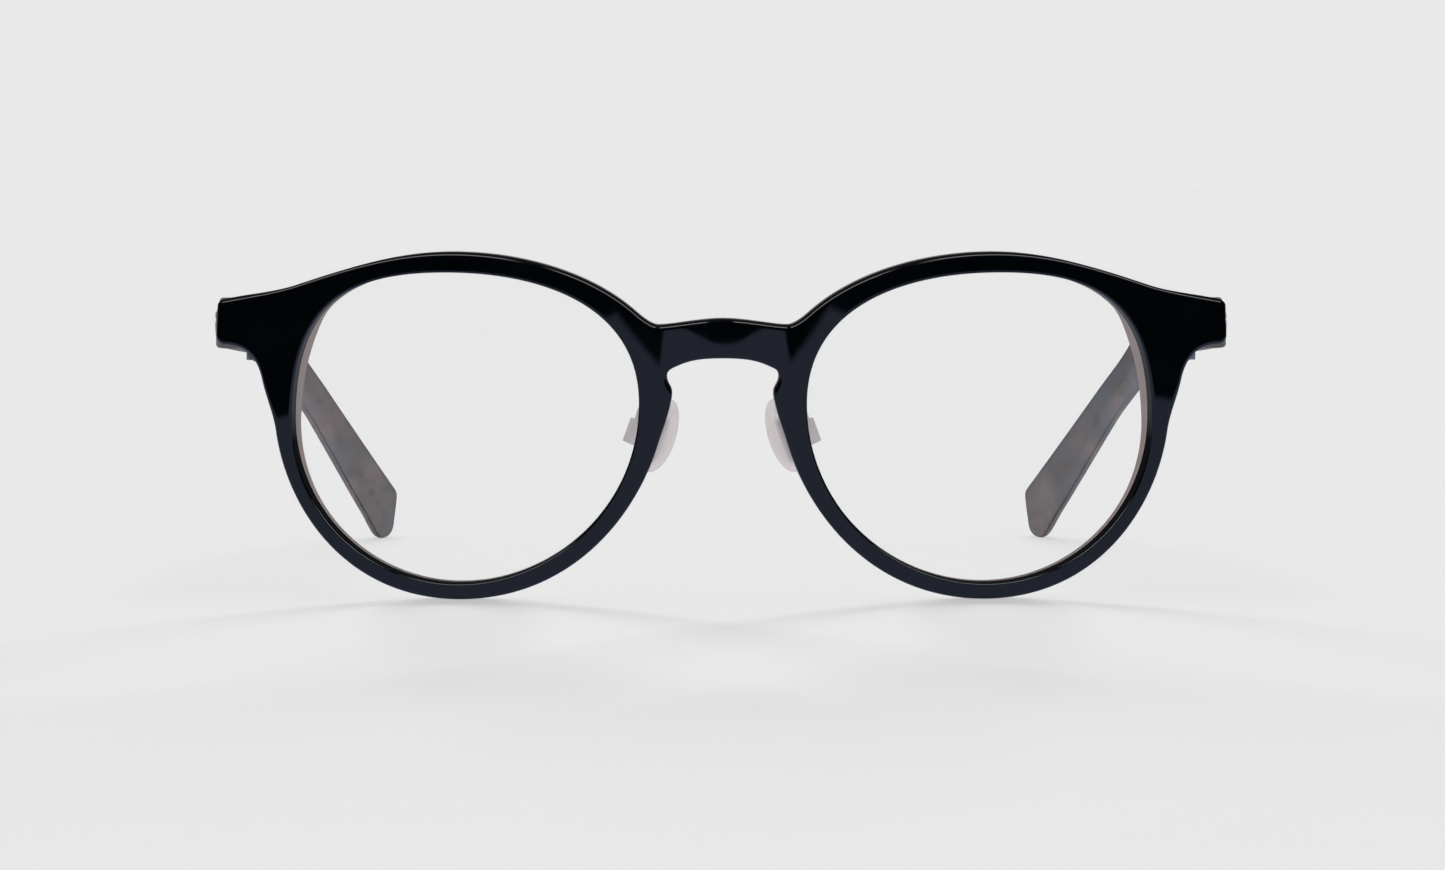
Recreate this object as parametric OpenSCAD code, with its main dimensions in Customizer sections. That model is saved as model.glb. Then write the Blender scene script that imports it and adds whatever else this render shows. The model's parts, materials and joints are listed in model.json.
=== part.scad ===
// Round acetate spectacles with a keyhole bridge, screw-on nose pads and folding temples.
// +Z is up, the front faces -Y and the temples run towards +Y.
// The open frame stands on both rims and both temple tips, at z = 0.

/* [Front] */
// Radius of the front's wrap, about an upright axis behind the bridge
wrap_r = 260; // [200:10:500]
// Lean of the front, its top towards -Y
tilt = 9; // [6:0.5:11]
// Thickness of the black front lamina
face_t = 2.6; // [2.2:0.1:3]
// Thickness of the horn-coloured lamina bonded behind it
back_t = 1.9; // [1.6:0.1:2.2]
// Depth of the V-groove that holds the lens
groove = 0.55; // [0.4:0.05:0.7]
// Thickness of a demonstration lens
lens_t = 1.5; // [1.2:0.1:1.8]

/* [Temples] */
// Thickness of a temple at the hinge
temple_t = 4.6; // [4.4:0.1:5]
// Width of the open gap between the front and a temple
butt_gap = 0.1; // [0.05:0.05:0.2]
// Width of the square steel wire inside a temple
core_w = 1.2; // [0.8:0.1:1.6]

/* [Hinges] */
// Outside radius of the hinge barrel
barrel_r = 1.6; // [1.5:0.05:1.7]
// Shank radius of the hinge screw
screw_r = 0.7; // [0.6:0.05:0.8]
// Height of the five knuckles together
barrel_h = 7; // [6.5:0.1:7.2]
// Running clearance on the radius of every screw
run = 0.05; // [0.02:0.01:0.08]

/* [Nose pads] */
// Height of a pad
pad_h = 10.5; // [10:0.5:12]
// Width of a pad
pad_w = 8; // [7:0.5:8.5]
// Thickness of a pad at its middle
pad_t = 2.2; // [2:0.1:2.4]
// Radius of the wire of a pad arm
arm_r = 0.5; // [0.4:0.05:0.5]

/* [Hidden] */
$fn = 64;

// A curve node is [x, y, heading in degrees, length of the arriving handle, length of the leaving handle].
// Right half of the front's outer edge, unrolled: bridge top, brow, endpiece, rim, nose, bridge underside.
outer_nodes = [
  [0, 38.95, 0, 0, 3.1], [8.8, 38.05, 0, 1.8, 1.1], [12.1, 40.1, 41, 0.5, 7.1],
  [35.8, 47.65, 0, 9.7, 7.9], [58.2, 42.6, -20, 8.4, 3], [68.6, 40, -13, 3, 0.6],
  [69.4, 38.9, -90, 0.6, 1], [69.6, 34.9, -90, 1, 0.6], [68.5, 33.8, -180, 0.6, 2],
  [63.2, 29, -101, 4.4, 2.4], [61.4, 22, -97, 2.4, 11], [36.8, -0.5, -180, 15, 15],
  [8.8, 21.4, -253, 11.7, 2.8], [6.9, 28.6, -270, 1.7, 0.8], [7.6, 30.8, -270, 0.9, 1.1],
  [6.1, 32.5, -205, 1, 1.5], [0, 33.55, -180, 3.4, 0]
];
// Edge of one lens opening, unrolled: nose side, top, temple side, bottom.
opening_nodes = [
  [11.35, 27.2, 90, 15.2, 13], [36, 44.65, 0, 12.3, 13], [58.1, 23.3, -90, 17.3, 11.7],
  [36.7, 2, -180, 11.8, 12.4], [11.35, 27.2, 90, 15.2, 13]
];
// Side view of a temple as [y, z]: top edge, cut tip, bottom edge.
temple_side_nodes = [
  [9.1, 41, -3.5, 0, 20], [78, 36.8, -5, 25, 8], [106, 25.2, -33, 8, 6], [132.4, 8.3, -32, 6, 1],
  [133.6, 6.2, -98, 1.2, 1], [132.2, 1.6, -108, 1.5, 0.8], [129.8, 0, -180, 1.2, 1.4],
  [123.9, 4.2, -217, 2.8, 6], [104.4, 19.4, -217, 7, 7], [76, 30.5, -183.5, 9, 20], [9.1, 34.1, -183.5, 20, 0]
];
// Plan of a temple as [x, y]: outer face, then inner face from the tip back to the hinge.
temple_outer_nodes = [
  [69.3, 9.1, 91.7, 0, 20], [67, 84, 91.5, 25, 8], [63, 104.5, 109, 8, 8], [52.2, 135, 109.3, 8, 0]
];
temple_inner_nodes = [
  [49.5, 135, -70.7, 0, 8], [60.1, 104.5, -71, 8, 8], [63.7, 84, -88.5, 8, 25], [69.3 - temple_t, 9.1, -89, 20, 0]
];
// Middle line of a temple's core wire, in side view as [y, z] and in plan as [x, y].
core_side_nodes = [[24, 36.5, -3.5, 0, 18], [78, 33.3, -5, 18, 8], [105, 21.9, -34.5, 8, 5], [119.5, 11.9, -34.5, 5, 0]];
core_plan_nodes = [[66.2, 24, 91.2, 0, 18], [65.2, 84, 91.5, 18, 8], [61.3, 104.5, 109, 8, 5], [55.9, 120, 109.3, 5, 0]];

groove_front = 1.45;
temple_end_y = temple_side_nodes[4].x;
hinge_x = 63.6;
hinge_y = 10.9;
hinge_z = 32.4;
knuckle_h = barrel_h / 5;
knuckle_gap = 0.05;
butt_y = 9.1 - butt_gap;
leaf_end_y = 24;
leaf_z = [34.6, 38.6];
plate_x = 69.15;
plate_z = 37.35;
plate_y = 15.2;
plate_size = [9.6, 3.3, 0.6];
plate_sink = 0.25;
pin_r = 0.6;
pin_len = 1.6;
pad_pos = [8.95, 7.6, 21.6];
pad_rise = 0.6;
pad_turn = 58;
pad_dome_r = 14;
pad_splay = -20;
pivot_back = 2.6;
pad_screw_r = 0.4;
lug_t = 0.9;
arm_root = [9.6, -0.6, 25.6];
arm_path = [arm_root, [9.6, 3.2, 26], [10.8, 5.1, 26.1], [11.6, 5.4, 23.8]];

function heading(a) = [cos(a), sin(a)];
function steps(a, b) = max(3, ceil(norm([b.x - a.x, b.y - a.y]) / 3));
// Cubic curve from node a to node b, without its last point.
function curve(a, b) =
  let (
    n = steps(a, b),
    p = [a.x, a.y],
    q = [b.x, b.y],
    c = p + a[4] * heading(a[2]),
    d = q - b[3] * heading(b[2])
  )
  [for (i = [0 : n - 1]) let (t = i / n, s = 1 - t)
    s * s * s * p + 3 * s * s * t * c + 3 * s * t * t * d + t * t * t * q];
function chain(nodes) = [for (i = [0 : len(nodes) - 2]) each curve(nodes[i], nodes[i + 1])];
function end_of(nodes) = [nodes[len(nodes) - 1].x, nodes[len(nodes) - 1].y];
// Closed clockwise outline moved outwards by d.
function grow(pts, d) =
  [for (i = [0 : len(pts) - 1])
    let (
      a = pts[(i + len(pts) - 1) % len(pts)],
      b = pts[(i + 1) % len(pts)],
      run_dir = (b - a) / norm(b - a)
    )
    pts[i] + d * [-run_dir.y, run_dir.x]];
// Open line of a given width along a curve, as a closed outline.
function ribbon(nodes, w) =
  let (
    pts = concat(chain(nodes), [end_of(nodes)]),
    last = len(pts) - 1,
    side = [for (i = [0 : last])
      let (d = pts[min(i + 1, last)] - pts[max(i - 1, 0)]) w / 2 * [-d.y, d.x] / norm(d)]
  )
  concat([for (i = [0 : last]) pts[i] + side[i]], [for (i = [last : -1 : 0]) pts[i] - side[i]]);
// Unrolled width to straight width across the wrapped front.
function flat(pts) = [for (p = pts) [wrap_r * sin(p.x / wrap_r * 180 / PI), p.y]];
function sag(x) = wrap_r - sqrt(wrap_r * wrap_r - x * x);

half_edge = chain(outer_nodes);
outer_edge = concat(
  flat(concat(half_edge, [end_of(outer_nodes)])),
  [for (i = [len(half_edge) - 1 : -1 : 1]) let (p = flat([half_edge[i]])[0]) [-p.x, p.y]]
);
opening_edge = chain(opening_nodes);
// Where the leaned front is lowest and foremost.
lift = -min([for (p = outer_edge) sag(p.x) * sin(tilt) + p.y * cos(tilt)]);
front_y = min([for (p = outer_edge) sag(p.x) * cos(tilt) - p.y * sin(tilt)]);
middle_y = (front_y + temple_end_y) / 2;

// Puts the whole object's middle over the origin.
module centred() {
  translate([0, -middle_y, 0]) children();
}
// Leans the front back to its place above the floor.
module leaned() {
  centred() translate([0, 0, lift]) rotate([tilt, 0, 0]) children();
}
module left_side() {
  mirror([1, 0, 0]) children();
}
// Upright cylinder round the wrap axis, at a given depth behind the front surface.
module inside_wrap(depth) {
  translate([0, wrap_r, -5]) cylinder(r = wrap_r - depth, h = 60, $fn = 256);
}
// Solid with a given outline seen from the front.
module seen_from_front(pts, depth = 26) {
  translate([0, depth, 0]) rotate([90, 0, 0]) linear_extrude(height = depth + 1) polygon(pts);
}
module wrapped_shell(pts, from_depth, to_depth) {
  difference() {
    intersection() {
      seen_from_front(pts);
      inside_wrap(from_depth);
    }
    inside_wrap(to_depth);
  }
}
module both_openings(grown, from_depth, to_depth) {
  for (s = [0, 1]) mirror([s, 0, 0])
    wrapped_shell(flat(grow(opening_edge, grown)), from_depth, to_depth);
}
module lens_grooves() {
  both_openings(groove, groove_front, groove_front + lens_t + 0.1);
}
// Straight round bar between two points.
module rod(a, b, r) {
  d = b - a;
  translate(a) rotate([0, acos(d.z / norm(d)), atan2(d.y, d.x)]) cylinder(r = r, h = norm(d));
}
// Bars from point to point, each a little thinner than the last and running a little past its bends.
module bent_wire(path, r) {
  for (i = [0 : len(path) - 2]) {
    along = (path[i + 1] - path[i]) / norm(path[i + 1] - path[i]);
    past = 0.7 * r * along;
    bar_r = r * (1 - 0.06 * i);
    rod(i == 0 ? path[i] : path[i] - past, i == len(path) - 2 ? path[i + 1] : path[i + 1] + past, bar_r);
  }
}

module front_lamina() {
  color([0.02, 0.02, 0.025]) leaned() difference() {
    intersection() {
      seen_from_front(outer_edge);
      inside_wrap(0);
    }
    inside_wrap(face_t);
    for (s = [0, 1]) mirror([s, 0, 0]) seen_from_front(flat(opening_edge), 30);
    lens_grooves();
  }
}

// The rear lamina, with the thick corner blocks that the temples butt against.
module rear_lamina() {
  color([0.45, 0.4, 0.38]) difference() {
    union() {
      leaned() difference() {
        intersection() {
          seen_from_front(outer_edge);
          inside_wrap(face_t);
        }
        inside_wrap(face_t + back_t);
        for (s = [0, 1]) mirror([s, 0, 0]) seen_from_front(flat(opening_edge), 30);
      }
      for (s = [0, 1]) mirror([s, 0, 0]) intersection() {
        leaned() difference() {
          intersection() {
            seen_from_front(outer_edge);
            inside_wrap(face_t);
          }
          seen_from_front(flat(opening_edge), 30);
        }
        centred() linear_extrude(height = 60)
          polygon([[54, 4], [58, butt_y], [72, butt_y], [72, -4], [54, -4]]);
      }
    }
    leaned() lens_grooves();
    for (s = [0, 1]) mirror([s, 0, 0]) centred() {
      front_leaf();
      rod(arm_root, arm_path[1], arm_r);
    }
  }
}

module lens() {
  color([0.9, 0.95, 1, 0.3]) leaned()
    wrapped_shell(flat(grow(opening_edge, groove - 0.05)), groove_front + 0.05, groove_front + 0.05 + lens_t);
}

// Knuckle number i of the barrel, counted from the bottom.
module knuckle(i) {
  translate([hinge_x, hinge_y, hinge_z + i * knuckle_h]) cylinder(r = barrel_r, h = knuckle_h - knuckle_gap);
}
module knuckle_neck(i, from_x, to_x, from_y, to_y) {
  translate([from_x, from_y, hinge_z + i * knuckle_h])
    cube([to_x - from_x, to_y - from_y, knuckle_h - knuckle_gap]);
}
module hinge_bore() {
  translate([hinge_x, hinge_y, hinge_z - 1]) cylinder(r = screw_r + run, h = barrel_h + 2);
}
// Leaf sunk into the corner block, with two anchor studs.
module front_leaf() {
  translate([57.8, butt_y - 0.9, hinge_z + 0.3]) cube([hinge_x - 57.8, 0.9, barrel_h - 0.6]);
  for (z = [2, 5]) translate([59.6, butt_y - 0.5, hinge_z + z]) rotate([90, 0, 0]) cylinder(r = 0.6, h = 1.6);
}
module front_hinge() {
  color("silver") centred() difference() {
    union() {
      front_leaf();
      for (i = [0, 2, 4]) {
        knuckle(i);
        knuckle_neck(i, hinge_x - barrel_r, hinge_x, butt_y, hinge_y);
      }
    }
    hinge_bore();
  }
}
module hinge_screw() {
  color("silver") centred() translate([hinge_x, hinge_y, hinge_z - 0.2]) {
    cylinder(r = screw_r, h = barrel_h + 0.3);
    translate([0, 0, barrel_h + 0.2]) difference() {
      cylinder(r = 1.2, h = 0.6);
      translate([-1.5, -0.15, 0.3]) cube([3, 0.3, 0.6]);
    }
  }
}
// Leaf let into the temple's inner face, with the lug that holds the core wire.
module temple_leaf() {
  translate([hinge_x + 0.1, 13, leaf_z[0]]) cube([1.3, leaf_end_y - 13, leaf_z[1] - leaf_z[0]]);
  translate([hinge_x + 1, leaf_end_y - 4, leaf_z[0] + 0.8]) cube([2.6, 4, leaf_z[1] - leaf_z[0] - 1.6]);
}
module temple_hinge() {
  color("silver") centred() difference() {
    union() {
      temple_leaf();
      for (i = [1, 3]) {
        knuckle(i);
        knuckle_neck(i, hinge_x, hinge_x + 1, hinge_y, 13.6);
      }
    }
    hinge_bore();
  }
}

// Solid with one outline seen from the side, as [y, z], and another seen from above, as [x, y].
module seen_from_side_and_above(side_pts, plan_pts) {
  intersection() {
    translate([40, 0, 0]) rotate([90, 0, 90]) linear_extrude(height = 40) polygon(side_pts);
    translate([0, 0, -1]) linear_extrude(height = 50) polygon(plan_pts);
  }
}
module core_wire_shape() {
  seen_from_side_and_above(ribbon(core_side_nodes, core_w), ribbon(core_plan_nodes, core_w));
}
module temple() {
  color([0.45, 0.42, 0.42]) centred() difference() {
    seen_from_side_and_above(
      concat(chain(temple_side_nodes), [end_of(temple_side_nodes)]),
      concat(
        chain(temple_outer_nodes), [end_of(temple_outer_nodes)],
        chain(temple_inner_nodes), [end_of(temple_inner_nodes)]
      )
    );
    translate([hinge_x, hinge_y, 20]) cylinder(r = barrel_r + 0.2, h = 30);
    temple_leaf();
    core_wire_shape();
    trim_plate_shape();
    trim_pin_shapes();
  }
}
module core_wire() {
  color("silver") centred() core_wire_shape();
}

// Slim plate with round ends, let into the temple's outer face.
module trim_plate_shape() {
  translate([plate_x - plate_sink, plate_y, plate_z]) rotate([0, 90, 0]) {
    for (s = [-1, 1]) translate([0, s * (plate_size.x - plate_size.y) / 2, 0])
      cylinder(r = plate_size.y / 2, h = plate_size.z);
    translate([-plate_size.y / 2, -(plate_size.x - plate_size.y) / 2, 0])
      cube([plate_size.y, plate_size.x - plate_size.y, plate_size.z]);
  }
}
module trim_pin_shapes() {
  for (s = [-1, 1]) translate([plate_x - plate_sink - pin_len, plate_y + s * 2.6, plate_z])
    rotate([0, 90, 0]) cylinder(r = pin_r, h = pin_len);
}
module trim_plate() {
  color("lightgray") centred() trim_plate_shape();
}
module trim_pins() {
  color("silver") centred() trim_pin_shapes();
}

// Local frame of a pad: local +Y faces the nose, local X is the width and the screw's line.
module at_pad() {
  centred() translate(pad_pos) rotate([0, pad_splay, 0]) rotate([0, 0, pad_turn]) children();
}
module pad_core_shape() {
  translate([-1.6, -0.55, -3]) cube([3.2, 0.5, 6]);
}
module nose_pad() {
  color([0.95, 0.88, 0.86, 0.5]) at_pad() difference() {
    intersection() {
      rotate([90, 0, 0]) linear_extrude(height = pad_t * 2, center = true) pad_outline();
      translate([0, pad_t / 2 - pad_dome_r, 0]) sphere(r = pad_dome_r, $fn = 360);
      translate([0, pad_dome_r - pad_t / 2, 0]) sphere(r = pad_dome_r, $fn = 360);
    }
    pad_core_shape();
    translate([-lug_t / 2, -3, -0.8]) cube([lug_t, 3, 1.6]);
  }
}
module pad_outline() {
  polygon([for (a = [0 : 10 : 350]) [pad_w / 2 * cos(a), pad_rise + pad_h / 2 * sin(a)]]);
}
// Plate inside the pad, with the drilled lug that the box holds.
module pad_core() {
  color("silver") at_pad() difference() {
    union() {
      pad_core_shape();
      translate([-lug_t / 2, -pivot_back, -0.8]) cube([lug_t, pivot_back - 0.1, 1.6]);
      translate([-lug_t / 2, -pivot_back, 0]) rotate([0, 90, 0]) cylinder(r = 0.8, h = lug_t);
    }
    translate([-2, -pivot_back, 0]) rotate([0, 90, 0]) cylinder(r = pad_screw_r + run, h = 4);
  }
}
module pad_screw() {
  color("silver") at_pad() translate([-1.5, -pivot_back, 0]) rotate([0, 90, 0]) {
    cylinder(r = pad_screw_r, h = 3.1);
    translate([0, 0, -0.4]) cylinder(r = 0.75, h = 0.4);
  }
}
// Wire arm from the rim, with the two-walled box for the pad's lug.
module pad_arm() {
  color("silver") union() {
    centred() bent_wire(arm_path, arm_r);
    at_pad() difference() {
      translate([-1.3, -4.3, -1.5]) cube([2.6, 2.7, 3]);
      translate([-lug_t / 2 - 0.1, -3.7, -2]) cube([lug_t + 0.2, 3, 4]);
      translate([-2, -pivot_back, 0]) rotate([0, 90, 0]) cylinder(r = pad_screw_r + run, h = 4);
    }
  }
}

front_lamina();
rear_lamina();
left_side() lens();  // left_lens
lens();  // right_lens
left_side() pad_arm();  // left_pad_arm
pad_arm();  // right_pad_arm
left_side() pad_screw();  // left_pad_screw
pad_screw();  // right_pad_screw
left_side() nose_pad();  // left_nose_pad
nose_pad();  // right_nose_pad
left_side() pad_core();  // left_pad_core
pad_core();  // right_pad_core
left_side() front_hinge();  // left_front_hinge
front_hinge();  // right_front_hinge
left_side() hinge_screw();  // left_hinge_screw
hinge_screw();  // right_hinge_screw
left_side() temple_hinge();  // left_temple_hinge
temple_hinge();  // right_temple_hinge
left_side() temple();  // left_temple
temple();  // right_temple
left_side() core_wire();  // left_core_wire
core_wire();  // right_core_wire
left_side() trim_plate();  // left_trim_plate
trim_plate();  // right_trim_plate
left_side() trim_pins();  // left_trim_pins
trim_pins();  // right_trim_pins
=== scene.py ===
"""Round acetate spectacles: the shapes, finishes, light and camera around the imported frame.

The row frame is in metres, +Z up, and the front faces -Y. Outlines are drawn in millimetres for the
right half, before the object is centred, and the left half is its mirror image.
"""

import json
import math

import bmesh
import bpy
import numpy as np
from mathutils import Euler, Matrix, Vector
from mathutils.geometry import delaunay_2d_cdt


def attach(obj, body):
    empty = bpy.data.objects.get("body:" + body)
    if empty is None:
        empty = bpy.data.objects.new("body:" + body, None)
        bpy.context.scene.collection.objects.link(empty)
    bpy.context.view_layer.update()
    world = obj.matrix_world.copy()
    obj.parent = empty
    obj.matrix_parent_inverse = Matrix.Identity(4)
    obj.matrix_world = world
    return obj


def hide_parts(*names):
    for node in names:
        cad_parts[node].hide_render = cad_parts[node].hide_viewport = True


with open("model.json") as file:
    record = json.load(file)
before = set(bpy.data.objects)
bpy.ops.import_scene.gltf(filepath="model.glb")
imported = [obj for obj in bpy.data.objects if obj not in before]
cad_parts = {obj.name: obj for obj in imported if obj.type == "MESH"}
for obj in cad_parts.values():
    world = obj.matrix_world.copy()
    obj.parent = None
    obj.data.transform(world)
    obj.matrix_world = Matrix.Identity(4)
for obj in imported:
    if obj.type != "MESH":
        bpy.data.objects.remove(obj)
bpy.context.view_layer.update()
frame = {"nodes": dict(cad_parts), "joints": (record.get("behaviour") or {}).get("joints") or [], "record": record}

MM = 0.001
SIDES = {"left": -1.0, "right": 1.0}

# ---------------------------------------------------------------- driving dimensions, in millimetres
WRAP_R = 260.0
TILT = math.radians(9.0)
FACE_T = 2.6
BACK_T = 1.9
FACE_EDGE_R = 0.45
OPENING_EDGE_SHARE = 0.67
# The rims' walls drop by this share of their depth, and turn in by this share of the wrap.
WALL_FALL = 0.11
WALL_TURN = 0.8
# How far the outline's brow and the openings' lower edge are lowered, easing in over these heights.
BROW_TRIM = 0.3
BROW_TRIM_Z = (20, 44)
SILL_TRIM = 0.3
SILL_TRIM_Z = (2, 22)
# How far an opening's temporal edge is moved outwards, easing in over this width.
OPENING_SPREAD = 0.95
SPREAD_X = (30, 58)
REAR_EDGE_R = 0.6
BOND_EDGE_R = 0.07
LENS_FRONT = 1.5
LENS_T = 1.5
LENS_IN_GROOVE = 0.5
LENS_EDGE_R = 0.3
TEMPLE_T = 4.6
TEMPLE_EDGE_R = 1.3
TEMPLE_BUTT_R = 0.6
BUTT_R_Y = (9.6, 15)
BUTT_STEPS = 16
# The part of a temple's faces by the hinge that gets a finer grid: low corner, high corner and spacing.
HINGE_END_GRID = ((9.5, 33), (13.5, 41), 0.35)
# How far the top of the outer face falls away by the hinge, over a share of the half height, up to this y.
TEMPLE_TOP_FALL = 0.5
TOP_FALL_SHARE = (0.25, 0.9)
TOP_FALL_Y = (12, 34)
TEMPLE_MIDDLE_Z = 37.55
TEMPLE_HALF_H = 3.45
HINGE_X = 63.6
HINGE_Y = 10.9
RELIEF_R = 1.8
BUTT_Y = 8.95
# The corner blocks grow over this width, turn level over these heights and start this softly.
BLOCK_X = (53.5, 58.6)
BLOCK_Z = (30, 38)
BLOCK_SOFT = 0.25
SQUARE_END_X = (60, 66)
PLATE_X = 69.5
PLATE_Y = 15.2
PLATE_Z = 37.35
PLATE_L = 9.6
PLATE_H = 3.3
PLATE_T = 0.6
PLATE_FACE_R = 0.12
PLATE_BACK_R = 0.05
PAD_POS = (8.95, 7.6, 21.6)
PAD_RISE = 0.6
PAD_TURN = math.radians(58.0)
PAD_SPLAY = math.radians(-20.0)
PAD_W = 8.0
PAD_H = 10.5
PAD_T = 2.2
PAD_TAPER = 0.1
PAD_WIDTH_SHARE = 0.96
PAD_DOME = 0.5
PAD_BACK_DOME_SHARE = 0.6
PAD_EDGE_R = 0.55
PAD_BACK_EDGE_SHARE = 0.8
ARM_R = 0.5
ARM_PATH = [(9.6, -0.6, 25.6), (9.6, 3.2, 26), (10.8, 5.1, 26.1), (11.6, 5.4, 23.8)]
BOX_OUTLINE = [
    (-1.3, -4.3), (-1.3, -1.6), (-0.55, -1.6), (-0.55, -3.7),
    (0.55, -3.7), (0.55, -1.6), (1.3, -1.6), (1.3, -4.3),
]
BOX_H = 3.4
BOX_EDGE_R = 0.08
BOX_STEPS = 6

# A curve node is (x, y, heading in degrees, arriving handle, leaving handle).
OUTER_NODES = [
    (0, 38.95, 0, 0, 3.1), (8.8, 38.05, 0, 1.8, 1.1), (12.1, 40.1, 41, 0.5, 7.1),
    (35.8, 47.65, 0, 9.7, 7.9), (58.2, 42.6, -20, 8.4, 3), (68.6, 40, -13, 3, 0.6),
    (69.4, 38.9, -90, 0.6, 1), (69.6, 34.9, -90, 1, 0.6), (68.5, 33.8, -180, 0.6, 2),
    (63.2, 29, -101, 4.4, 2.4), (61.4, 22, -97, 2.4, 11), (36.8, -0.5, -180, 15, 15),
    (8.8, 21.4, -253, 11.7, 2.8), (6.9, 28.6, -270, 1.7, 0.8), (7.6, 30.8, -270, 0.9, 1.1),
    (6.1, 32.5, -205, 1, 1.5), (0, 33.55, -180, 3.4, 0),
]
OPENING_NODES = [
    (11.35, 27.2, 90, 15.2, 13), (36, 44.65, 0, 12.3, 13), (58.1, 23.3, -90, 17.3, 11.7),
    (36.7, 2, -180, 11.8, 12.4), (11.35, 27.2, 90, 15.2, 13),
]
TEMPLE_SIDE_NODES = [
    (9.1, 41, -3.5, 0, 20), (78, 36.8, -5, 25, 8), (106, 25.2, -33, 8, 6), (132.4, 8.3, -32, 6, 1),
    (133.6, 6.2, -98, 1.2, 1), (132.2, 1.6, -108, 1.5, 0.8), (129.8, 0, -180, 1.2, 1.4),
    (123.9, 4.2, -217, 2.8, 6), (104.4, 19.4, -217, 7, 7), (76, 30.5, -183.5, 9, 20),
    (9.1, 34.1, -183.5, 20, 0),
]
TEMPLE_OUTER_NODES = [
    (69.3, 9.1, 91.7, 0, 20), (67, 84, 91.5, 25, 8), (63, 104.5, 109, 8, 8), (52.2, 135, 109.3, 8, 0),
]
TEMPLE_INNER_NODES = [
    (49.5, 135, -70.7, 0, 8), (60.1, 104.5, -71, 8, 8), (63.7, 84, -88.5, 8, 25),
    (69.3 - TEMPLE_T, 9.1, -89, 20, 0),
]


# ---------------------------------------------------------------- curves and outlines
def heading(degrees):
    return np.array([math.cos(math.radians(degrees)), math.sin(math.radians(degrees))])


def chain(nodes, step=0.5, least=8):
    """Points along a chain of cubic curves, without its last point."""
    parts = []
    for a, b in zip(nodes, nodes[1:]):
        p, q = np.array(a[:2], float), np.array(b[:2], float)
        c, d = p + a[4] * heading(a[2]), q - b[3] * heading(b[2])
        length = sum(np.linalg.norm(e) for e in (c - p, d - c, q - d))
        count = max(least, math.ceil(length / step))
        t = np.arange(count)[:, None] / count
        s = 1 - t
        parts.append(s**3 * p + 3 * s * s * t * c + 3 * s * t * t * d + t**3 * q)
    return np.concatenate(parts)


def with_end(nodes, step=0.5):
    return np.vstack([chain(nodes, step), np.array([nodes[-1][:2]], float)])


def mirrored(loop):
    """Mirror image of a loop, still in the same turning direction."""
    return (loop * [-1, 1])[::-1]


def straight_width(loop):
    """Width measured round the wrap to width measured straight across."""
    return np.column_stack([WRAP_R * np.sin(loop[:, 0] / WRAP_R), loop[:, 1]])


def left_normals(edges):
    return np.column_stack([-edges[:, 1], edges[:, 0]]) / np.linalg.norm(edges, axis=1)[:, None]


MITRE_LIMIT = 0.4
UNCROSS_ROUNDS = 40


def offset(loop, distance):
    """Clockwise loop moved outwards, its straight runs kept parallel."""
    before = loop - np.roll(loop, 1, 0)
    after = np.roll(loop, -1, 0) - loop
    n1 = left_normals(before)
    n2 = left_normals(after)
    mitre = (n1 + n2) / np.maximum(1 + (n1 * n2).sum(1), MITRE_LIMIT)[:, None]
    moved = loop + mitre * np.asarray(distance).reshape(-1, 1)
    # Where a corner is tighter than the distance its points would cross over, so they are drawn together.
    for _ in range(UNCROSS_ROUNDS):
        crossed = ((np.roll(moved, -1, 0) - moved) * after).sum(1) <= 0
        crossed |= np.roll(crossed, 1)
        if not crossed.any():
            break
        moved[crossed] = 0.5 * (np.roll(moved, 1, 0) + np.roll(moved, -1, 0))[crossed]
    return moved


def inside(points, loop):
    """True for the points that a closed loop surrounds."""
    x, y = points[:, 0][:, None], points[:, 1][:, None]
    ax, ay = loop.T
    bx, by = np.roll(loop, -1, 0).T
    crosses = (ay > y) != (by > y)
    rise = np.where(by == ay, 1e-12, by - ay)
    return (crosses & (x < (bx - ax) * (y - ay) / rise + ax)).sum(1) % 2 == 1


def smoothstep(edge_a, edge_b, x):
    t = np.clip((x - edge_a) / (edge_b - edge_a), 0, 1)
    return t * t * (3 - 2 * t)


def lowered(loop, drop):
    """A loop with each point moved down by its own drop."""
    return loop - np.column_stack([np.zeros(len(loop)), drop])


half_edge = with_end(OUTER_NODES)
OUTER = straight_width(np.vstack([half_edge, mirrored(half_edge)[1:-1]]))
OUTER = lowered(OUTER, BROW_TRIM * smoothstep(*BROW_TRIM_Z, OUTER[:, 1]))
OPENING = straight_width(chain(OPENING_NODES))
OPENING = lowered(OPENING, SILL_TRIM * (1 - smoothstep(*SILL_TRIM_Z, OPENING[:, 1])))
OPENING[:, 0] += OPENING_SPREAD * smoothstep(*SPREAD_X, OPENING[:, 0])
OPENINGS = [OPENING, mirrored(OPENING)]


def sag(x, depth):
    """How far back the wrapped sheet at some depth lies, at straight width x."""
    return WRAP_R - np.sqrt((WRAP_R - depth) ** 2 - x * x)


def joint_place(name):
    joint = next(j for j in frame["joints"] if j["name"] == name)
    return Vector(joint["pos_m"])


# The frame says how far the drawn parts were moved to stand over the origin.
MIDDLE_Y = HINGE_Y - joint_place("right_temple_fold").y / MM
BUTT_Y_M = (BUTT_Y - MIDDLE_Y) * MM
LIFT = -float((sag(OUTER[:, 0], 0) * math.sin(TILT) + OUTER[:, 1] * math.cos(TILT)).min())


def leaned(x, y, z):
    """Points of the upright front leaned back to their place, in metres."""
    return MM * np.column_stack([
        x,
        y * math.cos(TILT) - z * math.sin(TILT) - MIDDLE_Y,
        y * math.sin(TILT) + z * math.cos(TILT) + LIFT,
    ])


def centred(x, y, z):
    return MM * np.column_stack([x, y - MIDDLE_Y, z])


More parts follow.
